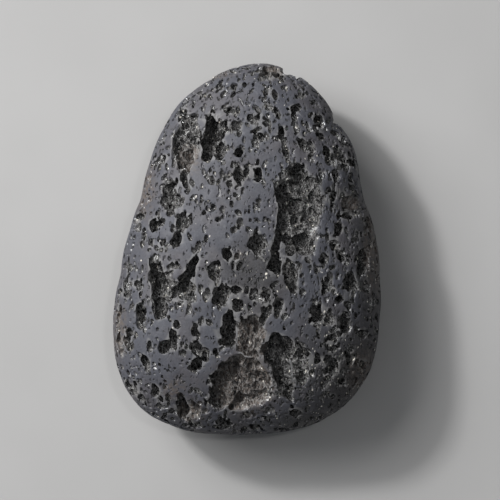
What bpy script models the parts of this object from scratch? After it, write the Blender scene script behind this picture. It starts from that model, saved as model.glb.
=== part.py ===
"""Lava rock: a tumbled pebble of vesicular basalt, one solid.

Metres, +Z up. The pebble lies on the flat worn patch of its underside, at Z = 0. The origin is
below the middle of its plan, the long axis is along Y and the narrow end is towards +Y.
"""

import math
import random

import bmesh
import bpy
from mathutils import Matrix, Vector, noise

# Driving dimensions, in metres.
LENGTH = 0.060
THICKNESS = 0.0218

# The plan and the hollows are drawn in millimetres on a pebble 60 mm long.
DRAWN_LENGTH = 60.0
UNIT = LENGTH / DRAWN_LENGTH
SEED = 7

# The plan's outline, clockwise from the narrow end, as a taut line round the worn pebble.
OUTLINE = [
    (0.9, 30.0), (4.2, 29.9), (6.6, 29.0), (8.9, 27.8), (11.2, 25.7), (13.2, 23.1), (14.2, 20.5),
    (16.1, 18.1), (17.4, 15.4), (18.2, 11.1), (18.9, 7.7), (20.1, 5.0), (21.0, 1.2), (21.4, -5.0),
    (21.2, -11.2), (20.5, -16.4), (19.2, -20.4), (17.4, -23.3), (14.8, -26.0), (11.2, -28.3),
    (6.4, -29.6), (0.9, -30.0), (-4.8, -29.8), (-9.4, -29.2), (-12.4, -28.0), (-15.2, -26.8),
    (-17.5, -24.9), (-19.6, -22.0), (-20.9, -18.6), (-21.4, -14.0), (-21.3, -9.1), (-20.5, -4.2),
    (-19.3, 2.4), (-17.2, 8.1), (-15.6, 13.5), (-13.3, 18.9), (-10.6, 23.4), (-7.3, 26.3), (-3.2, 28.9),
]
# The crown, the pebble's highest place, is nearer its broad end.
CROWN_X = 0.0
CROWN_Y = -3.0

# The section: a full dome on the widest level, and a flatter belly worn flat where it rests.
DOME = 12.3
BELLY = 9.9
REST = THICKNESS / UNIT - DOME
FULLNESS = 2.35

# A gentle swell of the whole skin: its share of the size, how far one radian of its waves reaches
# across, along, slanting and upwards, where the first two start, and the share of the slanting one.
SWELL = 0.011
SWELL_ACROSS = 5.0
SWELL_ALONG = 6.5
SWELL_SLANT = 7.5
SWELL_UP = 4.0
START_ACROSS = 1.3
START_ALONG = 0.4
SLANT_SHARE = 0.7

# The skin over a place is looked for up to this share of the dome's height, by halving.
SEARCH_SHARE = 1.3
HALVINGS = 30

# The plain body before its hollows: half its width, length and height as first drawn, and its mesh.
ROUGH_SIZE = (21.0, 30.0, 11.0)
RING_COUNT = 30
SEGMENTS = 40
SETTLING_STEPS = 8

# The share of its faces that the hollowed pebble keeps.
FACE_SHARE = 0.48

# Hollows: x and y of the mouth's middle, its length and width as seen from above, its lean in
# degrees clockwise from +Y, and its depth below the skin. Hollows that overlap run together.
RIGHT_HOLLOW = [
    (8.1, 6.0, 13.4, 6.8, -8, 1.6),
    (7.9, 11.7, 3.2, 2.4, -15, 2.6), (5.9, 8.0, 4.4, 2.8, 12, 2.8), (7.8, 6.4, 3.4, 2.6, 15, 3.7),
    (10.0, 9.0, 4.4, 3.4, -30, 2.0), (9.9, 5.4, 5.0, 3.2, -10, 2.2), (8.9, 1.1, 3.8, 2.6, -10, 3.7),
    (5.4, 4.4, 5.0, 2.2, 5, 1.8), (4.7, 0.9, 4.0, 1.3, 12, 2.4), (6.8, 0.6, 3.6, 1.5, 5, 2.0),
    (4.5, -2.5, 3.6, 2.1, 5, 2.4), (6.7, -4.3, 4.9, 2.0, -5, 2.6),
]
TOP_LEFT_HOLLOWS = [
    (-9.7, 16.8, 9.0, 4.4, 0, 0.9),
    (-6.1, 17.5, 7.6, 2.0, 2, 3.4), (-4.3, 16.4, 5.2, 1.6, 2, 3.4), (-4.3, 19.4, 1.6, 2.8, 0, 1.3),
    (-1.5, 14.9, 1.7, 1.8, 0, 3.0), (-10.6, 21.3, 2.5, 1.0, -12, 1.6), (-9.0, 20.4, 2.2, 2.4, 0, 1.5),
    (-8.8, 17.4, 5.0, 2.2, 0, 1.5), (-11.1, 17.0, 3.6, 1.7, 5, 1.8), (-9.7, 15.0, 1.9, 1.4, 0, 3.0),
    (-9.5, 13.3, 2.1, 2.0, -15, 2.2), (-1.3, 11.4, 3.4, 1.4, -5, 1.8), (-0.2, 11.7, 1.4, 1.0, 0, 1.2),
    (1.7, 11.3, 1.8, 1.0, 0, 1.8), (-1.6, 19.1, 1.5, 1.1, 0, 1.0),
]
NARROW_END_HOLLOWS = [
    (3.1, 28.2, 2.2, 1.8, 0, 1.6), (4.6, 28.2, 2.4, 1.8, 60, 1.8), (7.7, 22.2, 2.0, 1.3, 65, 1.4),
    (7.3, 20.8, 1.8, 1.0, 0, 1.2), (11.3, 20.2, 2.0, 1.2, -5, 1.8), (14.0, 18.4, 1.3, 1.2, 0, 1.1),
    (9.7, 19.1, 2.2, 0.8, -20, 1.0), (11.6, 17.7, 1.6, 1.3, 90, 1.2), (8.8, 16.3, 1.9, 1.5, 0, 1.2),
    (10.4, 15.2, 1.6, 1.0, 10, 1.4), (12.5, 15.2, 1.8, 1.1, -10, 1.6), (12.9, 13.8, 1.2, 1.0, -20, 1.2),
    (6.0, 15.2, 1.7, 1.0, -20, 1.1), (4.4, 24.4, 1.9, 0.9, -8, 1.2), (4.7, 21.4, 2.4, 0.7, -12, 1.2),
    (5.4, 18.1, 2.0, 0.9, 0, 1.2), (2.2, 17.4, 1.5, 0.8, -10, 1.4), (1.6, 22.0, 1.6, 0.8, -30, 1.2),
    (14.2, 11.4, 2.4, 1.2, 5, 1.6), (14.9, 14.4, 1.8, 1.6, 90, 1.2), (15.6, 13.0, 1.6, 1.2, 0, 1.0),
    (16.5, 11.3, 1.5, 1.0, 0, 1.0), (13.6, 8.1, 1.9, 0.9, 30, 1.0), (17.4, 8.5, 1.3, 0.8, 90, 0.9),
]
LEFT_HOLLOWS = [
    (-9.8, 10.7, 3.0, 1.1, -20, 1.5), (-12.2, 8.0, 5.4, 2.4, -3, 1.8), (-11.2, 7.9, 2.6, 1.0, 5, 2.4),
    (-14.8, 3.6, 2.5, 1.0, 15, 2.2), (-10.3, 3.9, 3.3, 1.5, 5, 1.6), (-11.1, 1.3, 2.4, 1.4, 10, 1.6),
    (-14.3, -4.4, 5.4, 2.2, 8, 3.2), (-14.4, -8.6, 5.0, 1.4, -5, 2.4), (-12.5, -6.0, 5.0, 2.6, 0, 1.2),
    (-13.2, -9.6, 3.0, 1.6, 0, 1.4), (-9.6, -4.6, 7.4, 2.0, 30, 2.8), (-9.2, -6.6, 3.2, 2.2, 20, 2.0),
    (-11.3, -2.5, 1.3, 0.8, 20, 1.2), (-17.1, -5.9, 2.0, 1.0, -15, 1.4), (-17.0, -10.8, 4.4, 1.6, 3, 2.0),
    (-19.5, -5.8, 2.3, 0.8, 3, 1.0), (-18.6, -13.3, 1.4, 1.1, 0, 1.1), (-18.9, -15.0, 2.1, 0.9, 5, 1.3),
    (-20.6, -14.5, 2.6, 1.0, 3, 1.3), (-20.1, -16.3, 1.6, 0.8, 0, 1.0),
]
MIDDLE_HOLLOWS = [
    (-3.1, -0.9, 1.9, 1.6, 0, 1.8), (1.4, 0.8, 3.0, 2.7, 0, 1.6), (-5.1, -3.5, 2.8, 1.9, 10, 1.1),
    (-1.3, -3.0, 1.0, 0.8, 0, 1.0), (-3.8, -7.6, 3.4, 2.6, 5, 2.0), (-2.0, -6.6, 1.6, 1.4, 0, 1.6),
    (-1.4, -9.0, 2.0, 1.8, 0, 1.4), (-2.9, -12.8, 5.0, 2.3, 3, 3.4), (0.2, -13.8, 6.4, 4.2, 5, 1.5),
    (1.2, -16.6, 2.6, 1.6, 0, 1.2), (2.7, -10.6, 3.4, 1.2, 35, 1.3), (4.8, -9.0, 3.8, 1.2, 0, 1.6),
    (2.8, -7.4, 2.4, 1.6, 0, 1.2), (8.7, -6.7, 1.4, 1.1, 0, 1.1), (-6.1, -7.1, 1.6, 1.0, 10, 0.9),
]
BROAD_END_HOLLOWS = [
    (-1.2, -21.4, 8.0, 8.6, 0, 1.5),
    (-3.6, -19.9, 4.8, 3.0, 60, 3.6), (1.4, -22.0, 5.8, 4.6, 0, 1.8), (-4.4, -23.2, 4.8, 3.4, 0, 2.4),
    (-1.5, -24.2, 4.6, 3.4, 90, 1.8), (5.0, -15.9, 5.2, 4.6, 0, 3.7), (5.3, -19.6, 4.6, 3.0, 0, 3.0),
    (6.0, -22.0, 3.6, 2.0, -15, 2.2), (8.3, -17.8, 7.0, 2.6, -5, 1.4), (-7.9, -15.6, 2.6, 1.8, -30, 1.4),
    (-8.0, -18.2, 2.8, 1.8, 0, 2.0), (-6.6, -16.8, 2.6, 1.6, 0, 1.2), (-13.1, -15.4, 2.6, 1.7, 20, 1.2),
    (-11.6, -14.2, 3.4, 1.0, 0, 1.6), (-8.2, -13.0, 1.8, 1.2, 0, 1.4), (-16.1, -17.8, 2.3, 1.1, -35, 1.6),
    (-15.4, -15.4, 1.6, 0.8, 15, 1.2), (-14.7, -22.4, 2.3, 1.3, 10, 1.5), (-13.7, -23.9, 1.2, 0.8, 0, 1.2),
    (-16.6, -23.9, 1.1, 1.0, 0, 1.2), (-10.4, -25.2, 4.8, 1.4, 0, 2.2), (-8.6, -25.8, 2.6, 2.6, 0, 0.8),
    (-3.7, -28.1, 2.4, 2.2, 90, 1.8), (0.1, -26.5, 1.0, 0.8, 0, 1.0), (1.3, -28.6, 1.2, 1.2, 0, 1.1),
    (7.4, -26.0, 1.6, 1.4, 90, 1.1),
]
RIGHT_FLANK_HOLLOWS = [
    (16.6, 6.8, 3.4, 3.0, 90, 0.8), (15.8, 5.1, 1.9, 1.0, 90, 1.8), (14.3, 3.1, 1.9, 1.2, 10, 2.2),
    (19.5, 4.0, 2.6, 1.2, -5, 1.4), (13.7, 0.4, 1.6, 1.3, 0, 1.2), (14.9, -1.3, 1.6, 0.9, 0, 1.0),
    (12.0, -1.6, 1.8, 1.0, 10, 1.1), (18.4, -1.3, 2.6, 2.4, 0, 1.5), (18.0, -3.2, 1.8, 1.4, 0, 1.0),
    (16.2, -5.3, 3.3, 2.4, 0, 1.9), (12.4, -5.5, 1.8, 1.5, 0, 1.2), (14.5, -8.1, 1.8, 1.5, 0, 1.2),
    (15.9, -8.7, 1.2, 1.0, 0, 0.9), (18.9, -6.4, 2.0, 1.6, 0, 1.2), (11.1, -10.3, 2.8, 2.2, 0, 2.2),
    (12.7, -11.2, 2.2, 1.6, 10, 1.4), (15.6, -11.9, 2.6, 1.9, 10, 1.5), (13.4, -14.0, 1.8, 1.2, 90, 1.0),
    (13.6, -15.6, 2.0, 0.7, 80, 1.0), (11.0, -17.5, 1.5, 1.4, 0, 1.2), (13.4, -18.6, 2.4, 2.0, 0, 1.6),
    (16.1, -17.5, 1.4, 1.0, 0, 1.0), (18.6, -18.3, 1.6, 1.5, 0, 1.0), (18.5, -13.4, 1.8, 1.3, 0, 1.0),
    (14.6, -21.2, 1.6, 1.2, 0, 1.0), (9.5, -16.3, 1.3, 0.8, 0, 0.9),
]
HOLLOWS = (
    RIGHT_HOLLOW + TOP_LEFT_HOLLOWS + NARROW_END_HOLLOWS + LEFT_HOLLOWS
    + MIDDLE_HOLLOWS + BROAD_END_HOLLOWS + RIGHT_FLANK_HOLLOWS
)
# Hollows narrower than this are fine texture and aren't cut. The wider ones have finer facets.
SMALLEST_WIDTH = 1.0
PLAIN_WIDTH = 1.3
FINE_WIDTH = 2.6

# A bubble's middle is this share of the depth below its mouth, and its wall is lumpy.
SUNK_SHARE = 0.25
LUMP_HEIGHT = 0.10
LUMP_COUNT = 1.6
LUMP_SHIFT = 50
LEAST_SEEN = 0.55

# The hollows of the belly, which are scattered: how many, how wide, how long for their width, how
# deep for their width, how far apart, and how far from the middle of the rest patch.
BELLY_COUNT = 26
BELLY_WIDTH = (1.3, 2.6)
BELLY_STRETCH = (1.0, 1.7)
BELLY_DEPTH = 0.8
BELLY_SPACING = 4.6
BELLY_CLEAR = 5.5
BELLY_SPREAD = 0.97

# Bites out of the outline: x and y of the middle, width, length along Y, and height.
BITES = [(7.3, 29.3, 4.4, 4.5, 14.0), (14.6, 20.8, 2.9, 2.8, 9.0)]

# The worn skin's colour and gloss.
BASALT_COLOUR = (0.062, 0.062, 0.068, 1.0)
BASALT_ROUGHNESS = 0.45


def outline_reach():
    """The outline's distance from the crown at each whole degree, with its corners rounded."""
    drawn = []
    for x, y in OUTLINE:
        along, across = y - CROWN_Y, x - CROWN_X
        drawn.append((math.degrees(math.atan2(along, across)) % 360, math.hypot(along, across)))
    drawn.sort()
    drawn = [(drawn[-1][0] - 360, drawn[-1][1])] + drawn + [(drawn[0][0] + 360, drawn[0][1])]
    reach = []
    span = 0
    for degree in range(360):
        while drawn[span + 1][0] < degree:
            span += 1
        (start, near), (end, far) = drawn[span], drawn[span + 1]
        reach.append(near + (far - near) * (degree - start) / (end - start))
    rounding = range(-2, 3)
    return [sum(reach[(degree + step) % 360] for step in rounding) / len(rounding) for degree in range(360)]


REACH = outline_reach()


def level(x, y, z):
    """1 on the worn skin, less inside it and more outside. Z is counted from the widest level."""
    across, along = x - CROWN_X, y - CROWN_Y
    degree = math.degrees(math.atan2(along, across)) % 360
    low = int(degree) % 360
    share = degree - int(degree)
    reach = REACH[low] * (1 - share) + REACH[(low + 1) % 360] * share
    height = DOME if z > 0 else BELLY
    size = ((math.hypot(across, along) / reach) ** FULLNESS + abs(z / height) ** FULLNESS) ** (1 / FULLNESS)
    broad = math.sin(x / SWELL_ACROSS + START_ACROSS) * math.cos(y / SWELL_ALONG + START_ALONG)
    slanting = SLANT_SHARE * math.sin((x + y) / SWELL_SLANT + z / SWELL_UP)
    return size / (1 + SWELL * (broad + slanting))


def skin_at(x, y, side=1):
    """The height of the skin over (x, y), on the dome, or on the belly where side is -1."""
    low, high = 0.0, SEARCH_SHARE * DOME
    for _ in range(HALVINGS):
        middle = (low + high) / 2
        if level(x, y, side * middle) < 1:
            low = middle
        else:
            high = middle
    return Vector((x, y, side * low))


def outward(point):
    """The skin's outward direction at a point."""
    step = 0.05
    slope = [
        level(*(point + shift)) - level(*(point - shift))
        for shift in (Vector((step, 0, 0)), Vector((0, step, 0)), Vector((0, 0, step)))
    ]
    return Vector(slope).normalized()


def to_world(point):
    """A drawn point, with Z from the widest level, in metres with Z from the ground."""
    return Vector((point[0], point[1], point[2] + REST)) * UNIT


def add_object(name, shape, collection):
    mesh = bpy.data.meshes.new(name)
    shape.to_mesh(mesh)
    shape.free()
    mesh.shade_smooth()
    thing = bpy.data.objects.new(name, mesh)
    collection.objects.link(thing)
    return thing


def worn_pebble(name, collection):
    """A sphere drawn out to the pebble, with its poles at the ends of the long axis."""
    shape = bmesh.new()
    bmesh.ops.create_uvsphere(shape, u_segments=SEGMENTS, v_segments=RING_COUNT, radius=1.0)
    for vertex in shape.verts:
        turned = vertex.co
        half_width, half_length, half_height = ROUGH_SIZE
        point = Vector((turned.x * half_width, turned.z * half_length, -turned.y * half_height))
        for _ in range(SETTLING_STEPS):
            at = Vector((point.x + CROWN_X, point.y + CROWN_Y, point.z))
            point = point / level(*at)
        vertex.co = to_world((point.x + CROWN_X, point.y + CROWN_Y, point.z))
    bmesh.ops.triangulate(shape, faces=shape.faces)
    bmesh.ops.recalc_face_normals(shape, faces=shape.faces)
    return add_object(name, shape, collection)


def add_bubble(name, collection, centre, turn, radii, detail, chance):
    """A lumpy ellipsoid that cuts one hollow."""
    shape = bmesh.new()
    bmesh.ops.create_icosphere(shape, subdivisions=detail, radius=1.0)
    offset = Vector([chance.uniform(0, LUMP_SHIFT) for _ in range(3)])
    spin = Matrix.Rotation(chance.uniform(0, 2 * math.pi), 3, "Z")
    for vertex in shape.verts:
        lump = 1 + LUMP_HEIGHT * noise.noise(vertex.co * LUMP_COUNT + offset)
        round_point = spin @ vertex.co * lump
        stretched = Vector(round_point[axis] * radii[axis] for axis in range(3))
        vertex.co = to_world(centre + turn @ stretched)
    cutter = add_object(name, shape, collection)
    cutter.hide_render = True
    cutter.display_type = "WIRE"
    return cutter


def cut_hollow(name, collection, mouth, length, width, lean, depth, chance):
    """A bubble below a mouth on the skin, a little wider inside than at the mouth."""
    normal = outward(mouth)
    lean = math.radians(lean)
    along = Vector((math.sin(lean), math.cos(lean), 0))
    along = (along - normal * along.dot(normal)).normalized()
    across = along.cross(normal).normalized()
    sink = SUNK_SHARE * depth
    below = depth - sink
    mouth_share = math.sqrt(1 - (sink / below) ** 2)
    seen_along = max(LEAST_SEEN, math.hypot(along.x, along.y))
    seen_across = max(LEAST_SEEN, math.hypot(across.x, across.y))
    radii = (width / 2 / mouth_share / seen_across, length / 2 / mouth_share / seen_along, below)
    turn = Matrix((across, along, normal)).transposed()
    detail = 3 if width >= FINE_WIDTH else 2 if width >= PLAIN_WIDTH else 1
    return add_bubble(name, collection, mouth - normal * sink, turn, radii, detail, chance)


def add_top_hollows(collection, chance):
    for number, (x, y, length, width, lean, depth) in enumerate(HOLLOWS):
        if width >= SMALLEST_WIDTH:
            cut_hollow(f"hollow_{number}", collection, skin_at(x, y), length, width, lean, depth, chance)


def add_hidden_hollows(collection, chance):
    """Hollows scattered over the belly and the flanks, clear of the middle of the rest patch."""
    places = []
    while len(places) < BELLY_COUNT:
        angle = chance.uniform(0, 2 * math.pi)
        share = BELLY_SPREAD * math.sqrt(chance.random())
        reach = REACH[int(math.degrees(angle)) % 360] * share
        x, y = CROWN_X + reach * math.cos(angle), CROWN_Y + reach * math.sin(angle)
        apart = all(math.hypot(x - a, y - b) > BELLY_SPACING for a, b in places)
        if apart and math.hypot(x, y) > BELLY_CLEAR:
            places.append((x, y))
    for number, (x, y) in enumerate(places):
        mouth = skin_at(x, y, side=-1)
        mouth.z = max(mouth.z, -REST)
        width = chance.uniform(*BELLY_WIDTH)
        length = width * chance.uniform(*BELLY_STRETCH)
        cut_hollow(
            f"belly_hollow_{number}", collection, mouth, length, width,
            chance.uniform(0, 180), BELLY_DEPTH * width, chance,
        )


def add_bites(collection, chance):
    for number, (x, y, width, length, height) in enumerate(BITES):
        radii = (width / 2, length / 2, height / 2)
        middle = Vector((x, y, 0))
        add_bubble(f"bite_{number}", collection, middle, Matrix.Identity(3), radii, 2, chance)


def ground_block(collection):
    """A block whose top is the ground: it cuts the belly flat where the pebble rests."""
    shape = bmesh.new()
    bmesh.ops.create_cube(shape, size=1.0)
    for vertex in shape.verts:
        vertex.co = Vector((vertex.co.x * LENGTH, vertex.co.y * LENGTH, (vertex.co.z - 0.5) * THICKNESS))
    block = add_object("ground_block", shape, collection)
    block.hide_render = True
    block.display_type = "WIRE"
    return block


def basalt():
    material = bpy.data.materials.new("worn_basalt")
    material.use_nodes = True
    shader = material.node_tree.nodes["Principled BSDF"]
    shader.inputs["Base Color"].default_value = BASALT_COLOUR
    shader.inputs["Roughness"].default_value = BASALT_ROUGHNESS
    shader.inputs["Metallic"].default_value = 0.0
    return material


def new_collection(name):
    collection = bpy.data.collections.new(name)
    bpy.context.scene.collection.children.link(collection)
    return collection


def main():
    for thing in list(bpy.data.objects):
        bpy.data.objects.remove(thing, do_unlink=True)
    chance = random.Random(SEED)
    parts = new_collection("lava_rock_parts")
    cutters = new_collection("lava_rock_cutters")
    guides = new_collection("lava_rock_ground")
    add_top_hollows(cutters, chance)
    add_hidden_hollows(cutters, chance)
    add_bites(cutters, chance)
    rock = worn_pebble("lava_rock", parts)
    rock.data.materials.append(basalt())
    cut = rock.modifiers.new("hollows", "BOOLEAN")
    cut.operation = "DIFFERENCE"
    cut.operand_type = "COLLECTION"
    cut.collection = cutters
    cut.solver = "EXACT"
    lighten = rock.modifiers.new("lighter_faces", "DECIMATE")
    lighten.ratio = FACE_SHARE
    flatten = rock.modifiers.new("rest_patch", "BOOLEAN")
    flatten.operation = "DIFFERENCE"
    flatten.object = ground_block(guides)
    flatten.solver = "EXACT"


main()
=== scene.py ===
import math
import random

import bpy
import numpy as np
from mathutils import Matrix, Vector


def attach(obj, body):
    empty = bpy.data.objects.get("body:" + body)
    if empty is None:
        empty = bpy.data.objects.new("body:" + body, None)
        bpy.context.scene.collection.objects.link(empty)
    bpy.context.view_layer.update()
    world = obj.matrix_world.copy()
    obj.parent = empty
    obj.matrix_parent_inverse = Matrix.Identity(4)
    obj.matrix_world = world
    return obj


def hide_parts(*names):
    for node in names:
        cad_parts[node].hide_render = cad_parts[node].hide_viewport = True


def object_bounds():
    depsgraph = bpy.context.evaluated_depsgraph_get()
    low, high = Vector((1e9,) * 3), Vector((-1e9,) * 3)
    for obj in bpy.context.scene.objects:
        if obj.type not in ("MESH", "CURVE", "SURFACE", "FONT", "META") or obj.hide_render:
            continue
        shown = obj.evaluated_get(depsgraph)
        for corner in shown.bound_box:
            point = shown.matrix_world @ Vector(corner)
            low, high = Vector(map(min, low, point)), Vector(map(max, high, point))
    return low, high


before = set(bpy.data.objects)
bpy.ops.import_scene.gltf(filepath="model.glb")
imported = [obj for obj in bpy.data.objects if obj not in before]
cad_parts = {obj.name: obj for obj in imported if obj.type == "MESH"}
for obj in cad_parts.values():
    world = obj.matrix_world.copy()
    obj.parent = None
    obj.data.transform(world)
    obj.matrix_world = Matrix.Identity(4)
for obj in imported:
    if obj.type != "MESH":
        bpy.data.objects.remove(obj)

CAD_LOW, CAD_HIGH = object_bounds()

# The rock is drawn on a pebble 60 long, the same as its solid: one drawn unit is a millimetre.
DRAWN_LENGTH = 60.0
UNIT = (CAD_HIGH.y - CAD_LOW.y) / DRAWN_LENGTH
SEED = 7

# The plan's outline, clockwise from the narrow end, as a taut line round the worn pebble.
OUTLINE = [
    (0.9, 30), (4.2, 29.9), (6.6, 29), (8.9, 27.8), (11.2, 25.7), (13.2, 23.1), (14.2, 20.5), (16.1, 18.1),
    (17.4, 15.4), (18.2, 11.1), (18.9, 7.7), (20.1, 5), (21, 1.2), (21.4, -5), (21.2, -11.2), (20.5, -16.4),
    (19.2, -20.4), (17.4, -23.3), (14.8, -26), (11.2, -28.3), (6.4, -29.6), (0.9, -30), (-4.8, -29.8),
    (-9.4, -29.2), (-12.4, -28), (-15.2, -26.8), (-17.5, -24.9), (-19.6, -22), (-20.9, -18.6), (-21.4, -14),
    (-21.3, -9.1), (-20.5, -4.2), (-19.3, 2.4), (-17.2, 8.1), (-15.6, 13.5), (-13.3, 18.9), (-10.6, 23.4),
    (-7.3, 26.3), (-3.2, 28.9),
]
# The crown, the pebble's highest place, is nearer its broad end.
CROWN_X = 0.0
CROWN_Y = -3.0

# The section: a full dome on the widest level, and a flatter belly worn flat where it rests.
DOME = 12.3
BELLY = 9.9
REST = 9.5
FULLNESS = 2.35

# A gentle swell of the whole skin: its share of the size, how far one radian of its waves reaches
# across, along, slanting and upwards, where the first two start, and the share of the slanting one.
SWELL = 0.011
SWELL_ACROSS = 5.0
SWELL_ALONG = 6.5
SWELL_SLANT = 7.5
SWELL_UP = 4.0
START_ACROSS = 1.3
START_ALONG = 0.4
SLANT_SHARE = 0.7

# Hollows: x and y of the mouth's middle, its length and width as seen from above, its lean in
# degrees clockwise from +Y, and its depth below the skin. Hollows that overlap run together.
RIGHT_HOLLOW = [
    (8.1, 6, 13.4, 6.8, -8, 1.6), (7.9, 11.7, 3.2, 2.4, -15, 2.6), (5.9, 8, 4.4, 2.8, 12, 2.8),
    (7.8, 6.4, 3.4, 2.6, 15, 3.7), (10, 9, 4.4, 3.4, -30, 2), (9.9, 5.4, 5, 3.2, -10, 2.2),
    (8.9, 1.1, 3.8, 2.6, -10, 3.7), (5.4, 4.4, 5, 2.2, 5, 1.8), (4.7, 0.9, 4, 1.3, 12, 2.4),
    (6.8, 0.6, 3.6, 1.5, 5, 2), (4.5, -2.5, 3.6, 2.1, 5, 2.4), (6.7, -4.3, 4.9, 2, -5, 2.6),
]
TOP_LEFT_HOLLOWS = [
    (-9.7, 16.8, 9, 4.4, 0, 0.9), (-6.1, 17.5, 7.6, 2, 2, 3.4), (-4.3, 16.4, 5.2, 1.6, 2, 3.4),
    (-4.3, 19.4, 1.6, 2.8, 0, 1.3), (-1.5, 14.9, 1.7, 1.8, 0, 3), (-10.6, 21.3, 2.5, 1, -12, 1.6),
    (-9, 20.4, 2.2, 2.4, 0, 1.5), (-8.8, 17.4, 5, 2.2, 0, 1.5), (-11.1, 17, 3.6, 1.7, 5, 1.8),
    (-9.7, 15, 1.9, 1.4, 0, 3), (-9.5, 13.3, 2.1, 2, -15, 2.2), (-1.3, 11.4, 3.4, 1.4, -5, 1.8),
    (-0.2, 11.7, 1.4, 1, 0, 1.2), (1.7, 11.3, 1.8, 1, 0, 1.8), (-1.6, 19.1, 1.5, 1.1, 0, 1),
]
NARROW_END_HOLLOWS = [
    (3.1, 28.2, 2.2, 1.8, 0, 1.6), (4.6, 28.2, 2.4, 1.8, 60, 1.8), (7.7, 22.2, 2, 1.3, 65, 1.4),
    (7.3, 20.8, 1.8, 1, 0, 1.2), (11.3, 20.2, 2, 1.2, -5, 1.8), (14, 18.4, 1.3, 1.2, 0, 1.1),
    (9.7, 19.1, 2.2, 0.8, -20, 1), (11.6, 17.7, 1.6, 1.3, 90, 1.2), (8.8, 16.3, 1.9, 1.5, 0, 1.2),
    (10.4, 15.2, 1.6, 1, 10, 1.4), (12.5, 15.2, 1.8, 1.1, -10, 1.6), (12.9, 13.8, 1.2, 1, -20, 1.2),
    (6, 15.2, 1.7, 1, -20, 1.1), (4.4, 24.4, 1.9, 0.9, -8, 1.2), (4.7, 21.4, 2.4, 0.7, -12, 1.2),
    (5.4, 18.1, 2, 0.9, 0, 1.2), (2.2, 17.4, 1.5, 0.8, -10, 1.4), (1.6, 22, 1.6, 0.8, -30, 1.2),
    (14.2, 11.4, 2.4, 1.2, 5, 1.6), (14.9, 14.4, 1.8, 1.6, 90, 1.2), (15.6, 13, 1.6, 1.2, 0, 1),
    (16.5, 11.3, 1.5, 1, 0, 1), (13.6, 8.1, 1.9, 0.9, 30, 1), (17.4, 8.5, 1.3, 0.8, 90, 0.9),
]
LEFT_HOLLOWS = [
    (-9.8, 10.7, 3, 1.1, -20, 1.5), (-12.2, 8, 5.4, 2.4, -3, 1.8), (-11.2, 7.9, 2.6, 1, 5, 2.4),
    (-14.8, 3.6, 2.5, 1, 15, 2.2), (-10.3, 3.9, 3.3, 1.5, 5, 1.6), (-11.1, 1.3, 2.4, 1.4, 10, 1.6),
    (-14.3, -4.4, 5.4, 2.2, 8, 3.2), (-14.4, -8.6, 5, 1.4, -5, 2.4), (-12.5, -6, 5, 2.6, 0, 1.2),
    (-13.2, -9.6, 3, 1.6, 0, 1.4), (-9.6, -4.6, 7.4, 2, 30, 2.8), (-9.2, -6.6, 3.2, 2.2, 20, 2),
    (-11.3, -2.5, 1.3, 0.8, 20, 1.2), (-17.1, -5.9, 2, 1, -15, 1.4), (-17, -10.8, 4.4, 1.6, 3, 2),
    (-19.5, -5.8, 2.3, 0.8, 3, 1), (-18.6, -13.3, 1.4, 1.1, 0, 1.1), (-18.9, -15, 2.1, 0.9, 5, 1.3),
    (-20.6, -14.5, 2.6, 1, 3, 1.3), (-20.1, -16.3, 1.6, 0.8, 0, 1),
]
MIDDLE_HOLLOWS = [
    (-3.1, -0.9, 1.9, 1.6, 0, 1.8), (1.4, 0.8, 3, 2.7, 0, 1.6), (-5.1, -3.5, 2.8, 1.9, 10, 1.1),
    (-1.3, -3, 1, 0.8, 0, 1), (-3.8, -7.6, 3.4, 2.6, 5, 2), (-2, -6.6, 1.6, 1.4, 0, 1.6),
    (-1.4, -9, 2, 1.8, 0, 1.4), (-2.9, -12.8, 5, 2.3, 3, 3.4), (0.2, -13.8, 6.4, 4.2, 5, 1.5),
    (1.2, -16.6, 2.6, 1.6, 0, 1.2), (2.7, -10.6, 3.4, 1.2, 35, 1.3), (4.8, -9, 3.8, 1.2, 0, 1.6),
    (2.8, -7.4, 2.4, 1.6, 0, 1.2), (8.7, -6.7, 1.4, 1.1, 0, 1.1), (-6.1, -7.1, 1.6, 1, 10, 0.9),
]
BROAD_END_HOLLOWS = [
    (-1.2, -21.4, 8, 8.6, 0, 1.5), (-3.6, -19.9, 4.8, 3, 60, 3.6), (1.4, -22, 5.8, 4.6, 0, 1.8),
    (-4.4, -23.2, 4.8, 3.4, 0, 2.4), (-1.5, -24.2, 4.6, 3.4, 90, 1.8), (5, -15.9, 5.2, 4.6, 0, 3.7),
    (5.3, -19.6, 4.6, 3, 0, 3), (6, -22, 3.6, 2, -15, 2.2), (8.3, -17.8, 7, 2.6, -5, 1.4),
    (-7.9, -15.6, 2.6, 1.8, -30, 1.4), (-8, -18.2, 2.8, 1.8, 0, 2), (-6.6, -16.8, 2.6, 1.6, 0, 1.2),
    (-13.1, -15.4, 2.6, 1.7, 20, 1.2), (-11.6, -14.2, 3.4, 1, 0, 1.6), (-8.2, -13, 1.8, 1.2, 0, 1.4),
    (-16.1, -17.8, 2.3, 1.1, -35, 1.6), (-15.4, -15.4, 1.6, 0.8, 15, 1.2),
    (-14.7, -22.4, 2.3, 1.3, 10, 1.5), (-13.7, -23.9, 1.2, 0.8, 0, 1.2), (-16.6, -23.9, 1.1, 1, 0, 1.2),
    (-10.4, -25.2, 4.8, 1.4, 0, 2.2), (-8.6, -25.8, 2.6, 2.6, 0, 0.8), (-3.7, -28.1, 2.4, 2.2, 90, 1.8),
    (0.1, -26.5, 1, 0.8, 0, 1), (1.3, -28.6, 1.2, 1.2, 0, 1.1), (7.4, -26, 1.6, 1.4, 90, 1.1),
]
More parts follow.
